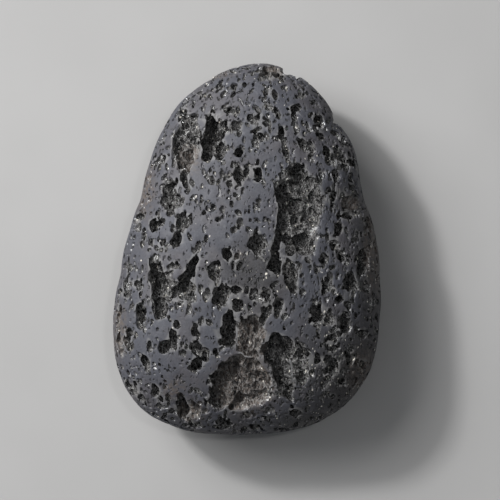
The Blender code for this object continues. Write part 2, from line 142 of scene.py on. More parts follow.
RIGHT_FLANK_HOLLOWS = [
    (16.6, 6.8, 3.4, 3, 90, 0.8), (15.8, 5.1, 1.9, 1, 90, 1.8), (14.3, 3.1, 1.9, 1.2, 10, 2.2),
    (19.5, 4, 2.6, 1.2, -5, 1.4), (13.7, 0.4, 1.6, 1.3, 0, 1.2), (14.9, -1.3, 1.6, 0.9, 0, 1),
    (12, -1.6, 1.8, 1, 10, 1.1), (18.4, -1.3, 2.6, 2.4, 0, 1.5), (18, -3.2, 1.8, 1.4, 0, 1),
    (16.2, -5.3, 3.3, 2.4, 0, 1.9), (12.4, -5.5, 1.8, 1.5, 0, 1.2), (14.5, -8.1, 1.8, 1.5, 0, 1.2),
    (15.9, -8.7, 1.2, 1, 0, 0.9), (18.9, -6.4, 2, 1.6, 0, 1.2), (11.1, -10.3, 2.8, 2.2, 0, 2.2),
    (12.7, -11.2, 2.2, 1.6, 10, 1.4), (15.6, -11.9, 2.6, 1.9, 10, 1.5), (13.4, -14, 1.8, 1.2, 90, 1),
    (13.6, -15.6, 2, 0.7, 80, 1), (11, -17.5, 1.5, 1.4, 0, 1.2), (13.4, -18.6, 2.4, 2, 0, 1.6),
    (16.1, -17.5, 1.4, 1, 0, 1), (18.6, -18.3, 1.6, 1.5, 0, 1), (18.5, -13.4, 1.8, 1.3, 0, 1),
    (14.6, -21.2, 1.6, 1.2, 0, 1), (9.5, -16.3, 1.3, 0.8, 0, 0.9),
]
HOLLOWS = (
    RIGHT_HOLLOW + TOP_LEFT_HOLLOWS + NARROW_END_HOLLOWS + LEFT_HOLLOWS
    + MIDDLE_HOLLOWS + BROAD_END_HOLLOWS + RIGHT_FLANK_HOLLOWS
)

# Only hollows this wide are in the solid, where each takes this many draws of chance for its lumps.
SOLID_WIDTH = 1.0
LUMP_DRAWS = 4

# The hollows of the belly, which are scattered: how many, how wide, how long for their width, how
# deep for their width, how far apart, and how far from the middle of the rest patch.
BELLY_COUNT = 26
BELLY_WIDTH = (1.3, 2.6)
BELLY_STRETCH = (1.0, 1.7)
BELLY_DEPTH = 0.8
BELLY_SPACING = 4.6
BELLY_CLEAR = 5.5
BELLY_SPREAD = 0.97

# Bites out of the outline: x and y of the middle, width, length along Y, and height.
BITES = [(7.3, 29.3, 4.4, 4.5, 14.0), (14.6, 20.8, 2.9, 2.8, 9.0)]

# Small bubbles of the top: x and y of the mouth's middle, length, width and lean as above. A row
# without a lean stands along Y, and one without a width is nearly round.
NARROW_END_BUBBLES = [
    (0, 29.3, 1, 0.5, 20), (0.8, 28.1, 0.8, 0.5, -20), (-2.5, 28.6, 0.7), (-0.5, 27.1, 0.8, 0.4),
    (-1.3, 26.9, 0.6), (-3, 26.9, 1, 0.4, 5), (-0.5, 25.9, 1, 0.8), (-1.2, 24.8, 0.9, 0.4, 60),
    (0.7, 25, 1.2, 0.5, 25), (2.6, 25.8, 0.7, 0.5), (3.6, 25.5, 0.8, 0.4, -30), (4.6, 26.1, 0.5, 0.3),
    (2.8, 23.5, 1, 0.6, 30), (-5.6, 25.2, 0.7, 0.4), (-3.8, 24.4, 1.1, 0.8, -5), (-5.8, 23.9, 0.4),
    (-6.9, 22.1, 1, 0.6), (-0.9, 23.2, 2, 0.4, -30), (0.4, 22.7, 0.9, 0.5), (0.6, 20.7, 0.9, 0.7),
    (-3.2, 22, 1.1, 1), (-3.2, 21, 0.4), (3.4, 20.9, 0.9, 0.5, -30), (2.9, 19.6, 0.9, 0.8),
    (3.5, 18.7, 1.1, 0.6), (4.2, 18.8, 0.4), (4.2, 16.8, 0.3), (0, 19.5, 0.9, 0.5, -40),
    (0.7, 18.3, 0.5, 0.3, 30), (-1.2, 17.9, 0.8), (1.2, 17.4, 1.2, 0.6, 20), (1.4, 16.5, 0.8),
    (-0.5, 16.9, 1, 0.5), (-3.3, 18.9, 1.2), (7.8, 24, 0.7, 0.5), (8.6, 23.9, 0.9, 0.5, 70),
    (6.5, 23.5, 0.5), (9.1, 25.4, 1, 0.4, 30), (9.6, 24.7, 0.8, 0.5), (10.3, 24.4, 0.4), (11.1, 24.1, 0.5),
    (10.3, 21.4, 0.5), (12.5, 18.9, 0.8, 0.5), (15.6, 17.6, 0.8, 0.5), (10, 16.9, 0.6), (12.5, 16.7, 0.5),
    (8.5, 13.8, 0.5), (11, 13.3, 0.7, 0.4, 50), (11.7, 13.2, 0.4), (-8.6, 24.4, 0.8, 0.5), (-9.8, 22.7, 0.5),
    (-8.6, 22.4, 0.4), (7.3, 15.5, 0.4), (7.5, 13.5, 1.6, 0.4, 5),
]
UPPER_BUBBLES = [
    (3.4, 15.8, 0.5), (2.8, 15.3, 0.5), (3.9, 15.4, 0.3), (3.4, 15, 0.3), (6.4, 13.8, 1, 0.8),
    (5.4, 12.8, 1.4, 0.5, -15), (5.8, 11.5, 0.4), (4.3, 12.8, 0.4), (3.9, 13.5, 0.3), (3.1, 12.3, 0.5),
    (3.8, 12.2, 0.4), (3.4, 11.5, 0.5), (4.6, 11.1, 0.5), (5.2, 10.7, 0.4), (5, 11.5, 0.4), (3.2, 9.9, 0.3),
    (3.8, 9.7, 0.3), (2.1, 10.4, 0.4), (0.4, 10.7, 0.4), (1.7, 13.5, 1, 0.6), (0.5, 15.5, 0.9, 0.5),
    (1.3, 15.3, 0.6), (1.5, 16.5, 0.6), (-0.3, 12.8, 0.6), (-3.7, 13.4, 0.7), (-2.3, 13, 0.8),
    (-3.1, 12.4, 0.7, 0.3), (-2.5, 15.9, 0.4), (-2.9, 15.6, 0.5), (-5.9, 12.1, 0.8, 0.5), (-5.2, 11.9, 0.6),
    (-5.4, 12.8, 0.4), (-5, 11.5, 0.4), (-7.1, 13, 0.9, 0.4), (-4.5, 10.5, 1.2, 0.6, 30),
    (-4.3, 9.4, 1.4, 0.4, -10), (-3.5, 9.3, 0.3), (-2.8, 8.9, 0.8, 0.6), (-4.6, 8.3, 0.5), (-3.9, 8.1, 0.3),
    (-4, 11.2, 0.6, 0.3), (-6, 8.9, 0.7, 0.3), (-7.3, 9.5, 0.4), (-2.5, 7.7, 0.5, 0.3),
    (-2.4, 6.8, 0.9, 0.7), (-3.9, 6.3, 0.8, 0.5), (-2.4, 5.8, 0.3), (-5.3, 6.5, 1.2, 0.8, -25),
    (-6.3, 6.1, 0.6), (-6.8, 5.5, 0.9, 0.7), (-4.2, 5.5, 0.3), (-1.5, 5.6, 1.1, 0.9), (-0.3, 5.6, 0.3),
    (0.3, 5.8, 0.6, 0.5), (1.1, 6.4, 0.5), (1.8, 6.2, 0.6), (2.8, 6.4, 0.3), (3.4, 7.3, 0.7, 0.5),
    (3.4, 6.7, 0.4), (1, 7, 0.5, 0.3), (-0.8, 8.8, 0.8, 0.3), (-6.1, 4.7, 0.9, 0.3), (-4.5, 4.4, 0.9),
    (-2.9, 4.1, 0.4), (0.5, 4.4, 0.6), (1, 4, 0.3), (2, 4.1, 0.5), (2.8, 4.5, 0.9, 0.6, 30), (3.5, 4.3, 0.6),
    (2.5, 3.4, 0.7, 0.3, 60), (-7.1, 7.8, 1.2, 0.5), (-8, 8.2, 0.5), (-7.9, 7.3, 0.5), (-8.9, 6.9, 0.4),
    (-8.7, 11, 0.3), (-8.4, 9.8, 0.4),
]
LEFT_BUBBLES = [
    (-12.7, 16.1, 0.8, 0.6), (-13.7, 14.7, 0.8, 0.5), (-14.6, 12.9, 0.9, 0.4, 40), (-15.4, 13.2, 0.8),
    (-12.7, 12.9, 1.2, 0.6, -30), (-12.8, 11.5, 0.6), (-12.2, 11, 0.4), (-12.6, 5.6, 0.9, 0.6),
    (-11.6, 5.7, 0.7, 0.4, -40), (-13.4, 6.6, 0.6, 0.3), (-14.2, 5.6, 1, 0.5, 50), (-13.6, 4.2, 1.4, 0.9),
    (-16.4, 9.1, 0.4), (-15.5, 9.2, 0.3), (-14.4, 8.6, 0.6, 0.3, -45), (-16.4, 6.4, 1, 0.3, -40),
    (-16.2, 5.6, 0.5), (-15.2, 5.6, 0.5), (-16.5, 0.6, 1.2, 0.5, 10), (-15.8, 1.1, 0.4), (-14.9, 0.4, 0.4),
    (-18.1, 0.5, 0.9, 0.3, 35), (-13.4, -0.2, 0.8, 0.7), (-12.6, 0, 0.5), (-7.6, 0.6, 1, 0.5, -20),
    (-8.1, -0.2, 0.7), (-13, -1.5, 0.8, 0.3, 30), (-16.7, -3.4, 1.6, 0.4, 20), (-16.2, -8.3, 0.6),
    (-16.9, -7.7, 0.8, 0.4), (-16.6, -8.8, 0.6, 0.3), (-18.5, -8, 0.7, 0.4, 25), (-19.4, -2.5, 1.2, 0.4, 15),
    (-15.2, -10.2, 0.5), (-15.1, -12.1, 0.5), (-18.7, -6.4, 0.3), (-18.7, -10, 0.3),
    (-20.6, -10.9, 1.8, 0.9), (-20.9, -12.2, 0.8), (-9.2, -9.9, 1.4, 0.6, 25), (-9.7, -10.7, 0.3),
    (-11, -9.2, 0.8), (-12.2, -10.7, 0.6), (-10.9, -11.8, 1.2), (-19.3, -16.7, 0.5),
    (-14.4, -15.3, 0.6, 0.4), (-18.4, -17.5, 0.4), (-17.9, -17.3, 0.6, 0.4), (-17.6, -16.9, 0.3),
    (-14.7, -18.2, 0.6, 0.5), (-17.9, -18.8, 0.4), (-16.6, -19.1, 0.3), (-18.8, -19.9, 1.2, 0.4, -45),
    (-17.7, -19.9, 0.9, 0.4, -45), (-18.1, -20.4, 0.6), (-17.3, -20.9, 0.5), (-16.5, -20.5, 0.4),
    (-17, -21.5, 0.5), (-16.8, -22.3, 0.4), (-15.8, -19.7, 0.4), (-14.7, -19.8, 0.4), (-13.4, -20.3, 0.6),
    (-12.9, -20.9, 0.5), (-13.8, -19.4, 0.8, 0.3), (-12.9, -19, 0.3), (-12.4, -19.2, 0.3),
    (-11.3, -18.9, 0.3), (-11, -20.3, 0.8, 0.3, 10), (-10.4, -20.7, 0.3), (-12.6, -24.7, 0.8, 0.5, 25),
    (-13.4, -25.4, 0.4), (-14.5, -25.9, 0.6, 0.5), (-13.6, -21.5, 0.5), (-18.2, -23.3, 0.6, 0.4),
    (-18.5, -22.7, 0.6), (-15.7, -24.1, 0.5), (-15.4, -25.3, 0.6), (-15.7, -26.4, 0.8, 0.4, -60),
    (-16.8, -25.6, 0.5), (-10.1, -17.6, 0.4), (-10.3, -18.2, 0.7, 0.3, 90), (-9.4, -18, 0.5),
    (-9.5, -15.4, 0.8, 0.5), (-11.3, -26, 0.6),
]
MIDDLE_BUBBLES = [
    (-6.3, 1.8, 0.6), (-6.6, 0.5, 0.6, 0.3), (-5.8, 0.5, 0.7, 0.3), (-6.9, -1.2, 0.5),
    (-6.3, -2.1, 0.7, 0.4), (-6.8, -3.3, 0.5), (-1.7, 0, 1, 0.3, 5), (-1.4, -1.2, 1.2, 1),
    (-2.2, -2.7, 1.6, 0.4), (2.9, 1, 0.5), (-3.6, -4.9, 0.3), (-0.8, -4.8, 0.4), (0.4, -4.9, 0.7, 0.4),
    (2.3, -4.1, 0.5, 0.3), (2.6, -4.6, 0.3), (3.9, -5.9, 0.9), (1.1, -7.5, 1.4, 1.1), (2.3, -7.3, 0.8),
    (3.2, -7.6, 0.8), (2.5, -8.3, 0.5), (4.7, -10.4, 1.3, 0.9), (5.9, -10.5, 1, 0.9), (5.4, -11.5, 0.5),
    (-5.4, -10.5, 0.9, 0.4), (-7, -11, 1.2, 0.6), (-4.1, -9.6, 0.7, 0.3), (7.2, -6.6, 0.8, 0.4),
    (7, -7.8, 0.4), (7.2, -9.5, 0.5), (4.2, -25.6, 0.9, 0.5), (3.8, -27.8, 0.4), (-0.5, -29, 1.2, 1),
    (8.3, -26.2, 1, 0.8), (7.7, -26.7, 0.8), (7.9, -14.2, 0.8), (8.3, -17.9, 1),
]
RIGHT_BUBBLES = [
    (12.6, 1.5, 0.9, 0.6), (14.6, 0.3, 0.6), (16.2, 0.7, 0.5), (17.3, 0.9, 0.5), (16.7, 0.2, 0.4),
    (14.7, -1.8, 0.8, 0.5), (15.4, -0.8, 0.5), (11.5, -1.8, 0.8), (12.1, -2.8, 0.8), (15.5, -2.4, 0.8, 0.5),
    (16.4, -1.8, 0.4), (12.6, -2.4, 0.3), (13.4, -3.2, 0.8), (11.6, -3.1, 0.4), (10.6, -2.7, 0.5, 0.3),
    (9.8, -3.6, 0.5, 0.3), (8.6, -4.2, 0.8), (10.2, -4.4, 0.6, 0.3), (14.2, -4.5, 0.8, 0.4, 30),
    (13.4, -4.4, 0.6), (12.6, -6.7, 0.8), (12.2, -7.3, 0.6), (10.5, -5.3, 0.6, 0.3), (11.5, -8.1, 0.5),
    (8.5, -9.1, 0.7, 0.3, 60), (15.5, -10.3, 1, 0.8), (17.2, -10.6, 0.7), (19.8, -9.7, 1.2, 0.7),
    (19, -11.3, 0.7), (19.7, -12.2, 0.9, 0.6), (10.7, -14.8, 0.4), (12.7, -14.2, 0.6), (14.6, -17.3, 1.1),
    (12.8, -17.5, 1.6), (17.3, -18, 1), (14.9, -19.3, 0.8), (10.3, -19.7, 1.4, 1), (12.6, -20.6, 1.2),
    (15.6, -21.7, 1), (16, -23, 0.8), (11.7, -15.2, 0.7), (16.3, -14.4, 0.6), (15.1, 8.4, 1, 0.8),
    (13.4, 6.7, 0.8), (13.8, 5.9, 0.7), (14.3, 5.5, 0.6), (12.1, 5.7, 0.4), (13.1, 4.5, 0.3),
    (17.6, 5.2, 0.9, 0.4), (17.4, 2.5, 0.8), (12.5, 2.1, 0.8, 0.5, 50), (13.7, 9.8, 0.8), (16.4, 9.8, 0.6),
]
ROUND_SHARE = 0.85
SMALL_DEPTH = 0.9

# The grid the rock is shaped on, and how much of it lies outside the rock.
STEP = 0.135
MARGIN = 0.9
FAR = 9.0

# How a bubble sits: its middle below its mouth, the least it is seen side on, how far it is warped.
SUNK_SHARE = 0.25
LEAST_SEEN = 0.55
WARP_SHARE = 0.11
WARP_LIMIT = 0.22
WARP_CELL = 0.8
CARVE_MARGIN = 0.5

# Places facing up more than this are on top.
TOP_FACING = 0.72

# Small bubbles scattered over the skin: how many places are tried and how near the skin, how far
# apart they are, and their widths, how often they are small, and their length and depth for their width.
SCATTER_TRIES = 320000
SCATTER_BAND = 0.004
TOP_SPACING = 0.5
SIDE_SPACING = 0.72
SKIN_BUBBLE = (0.32, 0.85)
SKIN_SMALLNESS = 2.2
SKIN_STRETCH = (1.0, 1.9)
SKIN_LEAN = 22
SKIN_DEPTH = (0.6, 1.1)
GROUND_CLEAR = 0.2

# The share of them kept on top, which grows to the right, and the patch of smooth skin on the left.
TOP_SHARE = 0.75
RIGHT_FROM = 6
RIGHT_OVER = 8
SMOOTH_X, SMOOTH_Y = -9, -1
SMOOTH_WIDTH, SMOOTH_LENGTH = 9, 8
SMOOTH_SHARE = 0.55

# Bubbles that roughen the walls of the hollows, and those that scallop their rims: how many, how
# wide, how often small, how far off they sit, and their radii for their size.
WALL_BUBBLES = 8500
WALL_BUBBLE = (0.16, 0.56)
RIM_BUBBLES = 2200
RIM_BUBBLE = (0.14, 0.34)
WALL_SMALLNESS = 2.3
WALL_RAISED = 0.35
WALL_BELOW = 0.35
WALL_SCATTER = 0.08
WALL_RADII = ((0.65, 0.95), (1.0, 1.9), (0.7, 1.1))

# Lumps on the walls of the hollows, least where the skin is near, and a faint waviness of the skin.
LUMPS = ((1.3, 0.12), (0.5, 0.05))
LUMPY_BELOW = 0.9
LUMPY_LEAST = 0.1
WAVES = ((2.6, 0.02), (0.9, 0.008))
RIM_ROUNDING = 0.05

# The finished rock's faces, and the share of its faces that the hidden underside keeps at first.
FACE_LIMIT = 194000
UNDERSIDE_SHARE = 0.3
UNDERSIDE_TOP = -2.0
UNDERSIDE_FADE = 3.0
UNDERSIDE_STEPS = 8

# Edges sharper than this stay crisp.
CRISP_DEGREES = 30


def bubble(x, y, length, width=None, lean=0):
    """A small bubble's full row: x, y, length, width, lean and depth."""
    width = width or round(ROUND_SHARE * length, 2)
    return x, y, length, width, lean, SMALL_DEPTH * width


def outline_reach():
    """The outline's distance from the crown at each whole degree, with its corners rounded."""
    drawn = []
    for x, y in OUTLINE:
        along, across = y - CROWN_Y, x - CROWN_X
        drawn.append((math.degrees(math.atan2(along, across)) % 360, math.hypot(along, across)))
    drawn.sort()
    angles, reaches = zip(*drawn)
    reach = np.interp(np.arange(360), angles, reaches, period=360)
    rounding = range(-2, 3)
    return sum(np.roll(reach, step) for step in rounding) / len(rounding)


REACH = outline_reach()


def level(x, y, z):
    """1 on the worn skin, less inside it and more outside. Z is counted from the widest level."""
    across, along = x - CROWN_X, y - CROWN_Y
    degrees = np.degrees(np.arctan2(along, across))
    reach = np.interp(degrees, np.arange(360), REACH, period=360)
    height = np.where(z > 0, DOME, BELLY)
    size = ((np.hypot(across, along) / reach) ** FULLNESS + np.abs(z / height) ** FULLNESS) ** (1 / FULLNESS)
    broad = np.sin(x / SWELL_ACROSS + START_ACROSS) * np.cos(y / SWELL_ALONG + START_ALONG)
    slanting = SLANT_SHARE * np.sin((x + y) / SWELL_SLANT + z / SWELL_UP)
    return size / (1 + SWELL * (broad + slanting))


def slope_at(points):
    """The slope of the level at each point."""
    small = 0.05
    return np.stack([
        (level(*(points + shift).T) - level(*(points - shift).T)) / (2 * small)
        for shift in np.eye(3) * small
    ], axis=1)


def below_skin(points):
    """How far each point lies below the worn skin."""
    return (1 - level(*points.T)) / np.linalg.norm(slope_at(points), axis=1)


def outward(points):
    slope = slope_at(points)
    return slope / np.linalg.norm(slope, axis=1)[:, None]


def skin_at(x, y, side=1):
    """The points of the skin over (x, y), on the dome, or on the belly where side is -1."""
    search_share, halvings = 1.3, 30
    low, high = np.zeros(len(x)), np.full(len(x), search_share * DOME)
    for _ in range(halvings):
        middle = (low + high) / 2
        inside = level(x, y, side * middle) < 1
        low, high = np.where(inside, middle, low), np.where(inside, high, middle)
    return np.stack((x, y, side * low), axis=1)


def spread_out(values, axis):
    """Values along one axis of the grid, shaped to meet the grid's own values."""
    shape = [1, 1, 1]
    shape[axis] = len(values)
    return values.reshape(shape)


class Rock:
    """The rock as a field on a grid: below zero inside it and above zero outside."""

    def __init__(self):
        self.low, self.high = np.array(CAD_LOW) / UNIT, np.array(CAD_HIGH) / UNIT
        self.axes = [np.arange(low - MARGIN, high + MARGIN, STEP) for low, high in zip(self.low, self.high)]
        self.axes[2] = self.axes[2] - REST
        self.origin = np.array([axis[0] for axis in self.axes])
        self.shape = tuple(len(axis) for axis in self.axes)
        self.chance = np.random.default_rng(SEED)
        filled = level(*(spread_out(values, axis) for axis, values in enumerate(self.axes)))
        filled = filled.astype(np.float32) - 1
        slopes = np.gradient(filled, STEP)
        self.skin = filled / np.sqrt(sum(slope * slope for slope in slopes))
        self.carved = np.full(self.shape, FAR, np.float32)
        self.warp = [self.noise(WARP_CELL) for _ in range(3)]

    def noise(self, cell):
        """Smooth noise over the grid with a spread of 1, in lumps about a cell across."""
        counts = [int(math.ceil((axis[-1] - axis[0]) / cell)) + 4 for axis in self.axes]
        lattice = self.chance.standard_normal(counts).astype(np.float32)
        for place, axis in enumerate(self.axes):
            at = (axis - axis[0]) / cell + 1
            whole = np.floor(at).astype(int)
            part = (at - whole).astype(np.float32)
            spline = (
                (1 - part) ** 3 / 6, (3 * part**3 - 6 * part**2 + 4) / 6,
                (-3 * part**3 + 3 * part**2 + 3 * part + 1) / 6, part**3 / 6,
            )
            lattice = sum(
                lattice.take(whole - 1 + shift, axis=place) * spread_out(share, place)
                for shift, share in enumerate(spline)
            )
        return lattice / lattice.std()

    def cut(self, centre, turn, radii):
        """Carves a warped ellipsoid out of the rock."""
        warp = min(WARP_LIMIT, WARP_SHARE * 2 * min(radii))
        reach = np.abs(turn) @ radii + CARVE_MARGIN + 2 * warp
        first = np.maximum(((centre - reach - self.origin) / STEP).astype(int), 0)
        last = np.minimum(((centre + reach - self.origin) / STEP).astype(int) + 2, self.shape)
        if (last <= first).any():
            return
        box = tuple(slice(a, b) for a, b in zip(first, last))
        x, y, z = (
            spread_out(self.axes[axis][box[axis]], axis) - centre[axis] + warp * self.warp[axis][box]
            for axis in range(3)
        )
        near = far = 0
        for side, radius in zip(turn.T, radii):
            share = (x * side[0] + y * side[1] + z * side[2]) / radius
            near = near + share * share
            far = far + (share / radius) ** 2
        near = np.sqrt(near)
        gap = near * (near - 1) / np.maximum(np.sqrt(far), 1e-4)
        self.carved[box] = np.minimum(self.carved[box], gap)

    def cut_mouth(self, mouth, normal, length, width, lean, depth):
        """A bubble below a mouth on the skin, a little wider inside than at the mouth."""
        along = np.array((math.sin(math.radians(lean)), math.cos(math.radians(lean)), 0.0))
        along -= normal * along.dot(normal)
        along /= np.linalg.norm(along)
        across = np.cross(along, normal)
        sink = SUNK_SHARE * depth
        below = depth - sink
        mouth_share = math.sqrt(1 - (sink / below) ** 2)
        seen_along = max(LEAST_SEEN, math.hypot(along[0], along[1]))
        seen_across = max(LEAST_SEEN, math.hypot(across[0], across[1]))
        wide, long = width / 2 / mouth_share / seen_across, length / 2 / mouth_share / seen_along
        turn = np.stack((across, along, normal), axis=1)
        self.cut(mouth - normal * sink, turn, np.array((wide, long, below)))

    def cut_row(self, rows, side=1):
        """Cuts the hollows of a table, each (x, y, length, width, lean, depth), and gives their mouths."""
        rows = np.array(rows, float)
        mouths = skin_at(rows[:, 0], rows[:, 1], side)
        mouths[:, 2] = np.maximum(mouths[:, 2], -REST)
        for mouth, normal, row in zip(mouths, outward(mouths), rows):
            self.cut_mouth(mouth, normal, *row[2:])
        return mouths


def belly_hollows():
    """The scattered hollows of the belly, in the same places as in the solid."""
    chance = random.Random(SEED)

    def pass_over_lumps():
        for _ in range(LUMP_DRAWS):
            chance.random()

    for row in HOLLOWS:
        if row[3] >= SOLID_WIDTH:
            pass_over_lumps()
    places = []
    while len(places) < BELLY_COUNT:
        angle = chance.uniform(0, 2 * math.pi)
        share = BELLY_SPREAD * math.sqrt(chance.random())
        reach = REACH[int(math.degrees(angle)) % 360] * share
        x, y = CROWN_X + reach * math.cos(angle), CROWN_Y + reach * math.sin(angle)
        apart = all(math.hypot(x - a, y - b) > BELLY_SPACING for a, b in places)
        if apart and math.hypot(x, y) > BELLY_CLEAR:
            places.append((x, y))
    rows = []
    for x, y in places:
        width = chance.uniform(*BELLY_WIDTH)
        length = width * chance.uniform(*BELLY_STRETCH)
        rows.append((x, y, length, width, chance.uniform(0, 180), BELLY_DEPTH * width))
        pass_over_lumps()
    return rows


def crowding(points, normals):
    """The share of scattered bubbles kept at each place: most on the flanks, few on the smooth skin."""
    x, y = points[:, 0], points[:, 1]
    right = np.clip((x - RIGHT_FROM) / RIGHT_OVER, 0, 1)
    smooth = np.exp(-(((x - SMOOTH_X) / SMOOTH_WIDTH) ** 2 + ((y - SMOOTH_Y) / SMOOTH_LENGTH) ** 2))
    on_top = TOP_SHARE + (1 - TOP_SHARE) * right - SMOOTH_SHARE * smooth
    return np.where(normals[:, 2] > TOP_FACING, on_top, 1.0)


class Crowd:
    """Round places already taken, kept by the cell one unit wide that each lies in."""

    AROUND = [(i, j, k) for i in (-1, 0, 1) for j in (-1, 0, 1) for k in (-1, 0, 1)]

    def __init__(self):
        self.cells = {}

    def add(self, point, half):
        self.cells.setdefault(tuple(np.floor(point).astype(int)), []).append((point, half))

    def leaves_room(self, point, half):
        home = np.floor(point).astype(int)
        for step in self.AROUND:
            for other, other_half in self.cells.get(tuple(home + step), ()):
                if np.linalg.norm(point - other) < half + other_half:
                    return False
        return True


def scattered_places(rock, crowd):
    """Places on the skin for small bubbles, spaced apart and clear of those in the crowd."""
    chance = rock.chance
    low, high = rock.origin + MARGIN, rock.origin + (np.array(rock.shape) - 1) * STEP - MARGIN
    tries = chance.uniform(low, high, (SCATTER_TRIES, 3))
    tries = tries[np.abs(level(*tries.T) - 1) < SCATTER_BAND]
    normals = outward(tries)
    tries = tries + normals * below_skin(tries)[:, None]
    keep = chance.random(len(tries)) < crowding(tries, normals)
    kept = []
    for point, normal in zip(tries[keep], normals[keep]):
        half = (TOP_SPACING if normal[2] > TOP_FACING else SIDE_SPACING) / 2
        if crowd.leaves_room(point, half):
            crowd.add(point, half)
            kept.append((point, normal))
    return kept


def cut_small_bubbles(rock):
    """The drawn small bubbles of the top, then the scattered ones."""
    drawn = NARROW_END_BUBBLES + UPPER_BUBBLES + LEFT_BUBBLES + MIDDLE_BUBBLES + RIGHT_BUBBLES
    rows = [bubble(*row) for row in drawn]
    crowd = Crowd()
    for mouth, row in zip(rock.cut_row(rows), rows):
        crowd.add(mouth, row[2] / 2)
    chance = rock.chance
    end_on, turned_aside = 0.95, 0.3
    smallest, widest = SKIN_BUBBLE
    for place, normal in scattered_places(rock, crowd):
        if place[2] < -REST + GROUND_CLEAR:
            continue
        width = smallest + (widest - smallest) * chance.random() ** SKIN_SMALLNESS
        length = width * chance.uniform(*SKIN_STRETCH)
        lean = chance.normal(0, SKIN_LEAN)
        if abs(normal[1]) > end_on:
            normal = np.array((turned_aside, normal[1], normal[2]))
            normal /= np.linalg.norm(normal)
        rock.cut_mouth(place, normal, length, width, lean, chance.uniform(*SKIN_DEPTH) * width)


def roughen_walls(rock):
    """Small bubbles that open into the hollows, and those that scallop their rims."""
    chance = rock.chance
    wall = np.argwhere((np.abs(rock.carved) < STEP * 0.7) & (rock.skin < -WALL_BELOW))
    rim = np.argwhere((np.abs(rock.carved) < STEP) & (np.abs(rock.skin + STEP) < STEP))
    for places, count, (smallest, widest) in (
        (wall, WALL_BUBBLES, WALL_BUBBLE), (rim, RIM_BUBBLES, RIM_BUBBLE),
    ):
        for place in places[chance.choice(len(places), count, replace=False)]:
            centre = rock.origin + place * STEP + chance.normal(0, WALL_SCATTER, 3)
            radius = smallest + (widest - smallest) * chance.random() ** WALL_SMALLNESS
            centre[2] += WALL_RAISED * radius
            rock.cut(centre, np.eye(3), radius * np.array([chance.uniform(*span) for span in WALL_RADII]))


def finished_field(rock):
    """The rock with its hollows, its rims a little rounded, inside the solid's own box."""
    lumpy = np.clip(-rock.skin / LUMPY_BELOW, LUMPY_LEAST, 1)
    for cell, height in LUMPS:
        rock.carved += height * lumpy * rock.noise(cell)
    for cell, height in WAVES:
        rock.skin += height * rock.noise(cell)
    near = np.maximum(RIM_ROUNDING - np.abs(rock.skin + rock.carved), 0) / RIM_ROUNDING
    field = np.maximum(rock.skin, -rock.carved) + near * near * (RIM_ROUNDING / 4)
    for place, (axis, lift) in enumerate(zip(rock.axes, (0, 0, REST))):
        real = axis + lift
        beyond = np.maximum(real - rock.high[place], rock.low[place] - real).astype(np.float32)
        np.maximum(field, spread_out(beyond, place), out=field)
    return field


# The eight corners of a cell of the grid, the four of each of its sides by number, going round it,
# and the pairs that lie opposite each other.
CORNERS = [(a, b, c) for a in (0, 1) for b in (0, 1) for c in (0, 1)]
SIDES = [(0, 1, 3, 2), (4, 5, 7, 6), (0, 1, 5, 4), (2, 3, 7, 6), (0, 2, 6, 4), (1, 3, 7, 5)]
OPPOSITE = [(0, 7), (1, 6), (2, 5), (3, 4)]


def mend_corners(field):
    """Fills or empties corners where the surface would touch itself along an edge or at a point."""
    tiny = 0.02 * STEP
    most_rounds = 8
    ends = (slice(None, -1), slice(1, None))
    for _ in range(most_rounds):
        inside = (field < 0).astype(np.int8)
        count = sum(inside[ends[a], ends[b], ends[c]] for a, b, c in CORNERS)
        cells = np.argwhere((count > 1) & (count < 7))
        solid = np.stack([inside[tuple((cells + corner).T)] for corner in CORNERS], axis=1).astype(bool)
        count = solid.sum(axis=1)
        fill, empty = np.zeros_like(solid), np.zeros_like(solid)
        for one, two, three, four in SIDES:
            fill[:, two] |= solid[:, one] & solid[:, three] & ~solid[:, two] & ~solid[:, four]
            fill[:, one] |= ~solid[:, one] & ~solid[:, three] & solid[:, two] & solid[:, four]
        for one, two in OPPOSITE:
            fill[:, one] |= (count == 6) & ~solid[:, one] & ~solid[:, two]
            empty[:, one] |= (count == 2) & solid[:, one] & solid[:, two]
        if not fill.any() and not empty.any():
            break
        for number, corner in enumerate(CORNERS):
            field[tuple((cells[empty[:, number]] + corner).T)] = tiny
            field[tuple((cells[fill[:, number]] + corner).T)] = -tiny
    return field


def surface(field):
    """The points and four-sided faces of the surface where the field is zero."""
    inside = field < 0
    owners, spots, faces = [], [], []
    for axis in range(3):
        lower, upper = [slice(None)] * 3, [slice(None)] * 3
        lower[axis], upper[axis] = slice(None, -1), slice(1, None)
        lower, upper = tuple(lower), tuple(upper)
        crossed = inside[lower] != inside[upper]
        index = np.argwhere(crossed)
        start, end = field[lower][crossed], field[upper][crossed]
        spot = index.astype(np.float64)
        spot[:, axis] += start / (start - end)
        ring = []
        for back, down in ((0, 0), (1, 0), (1, 1), (0, 1)):
            cell = index.copy()
            cell[:, (axis + 1) % 3] -= back
            cell[:, (axis + 2) % 3] -= down
            ring.append(np.ravel_multi_index(tuple(cell.T), field.shape))
        ring = np.stack(ring, axis=1)
        outwards = inside[lower][crossed]
        faces.append(np.where(outwards[:, None], ring, ring[:, ::-1]))
        owners.append(ring.ravel())
        spots.append(np.repeat(spot, 4, axis=0))
    owners, spots, faces = np.concatenate(owners), np.concatenate(spots), np.concatenate(faces)
    cells, point_of = np.unique(owners, return_inverse=True)
    counts = np.bincount(point_of)
    points = np.stack([np.bincount(point_of, spots[:, place]) / counts for place in range(3)], axis=1)
    return points, np.searchsorted(cells, faces)


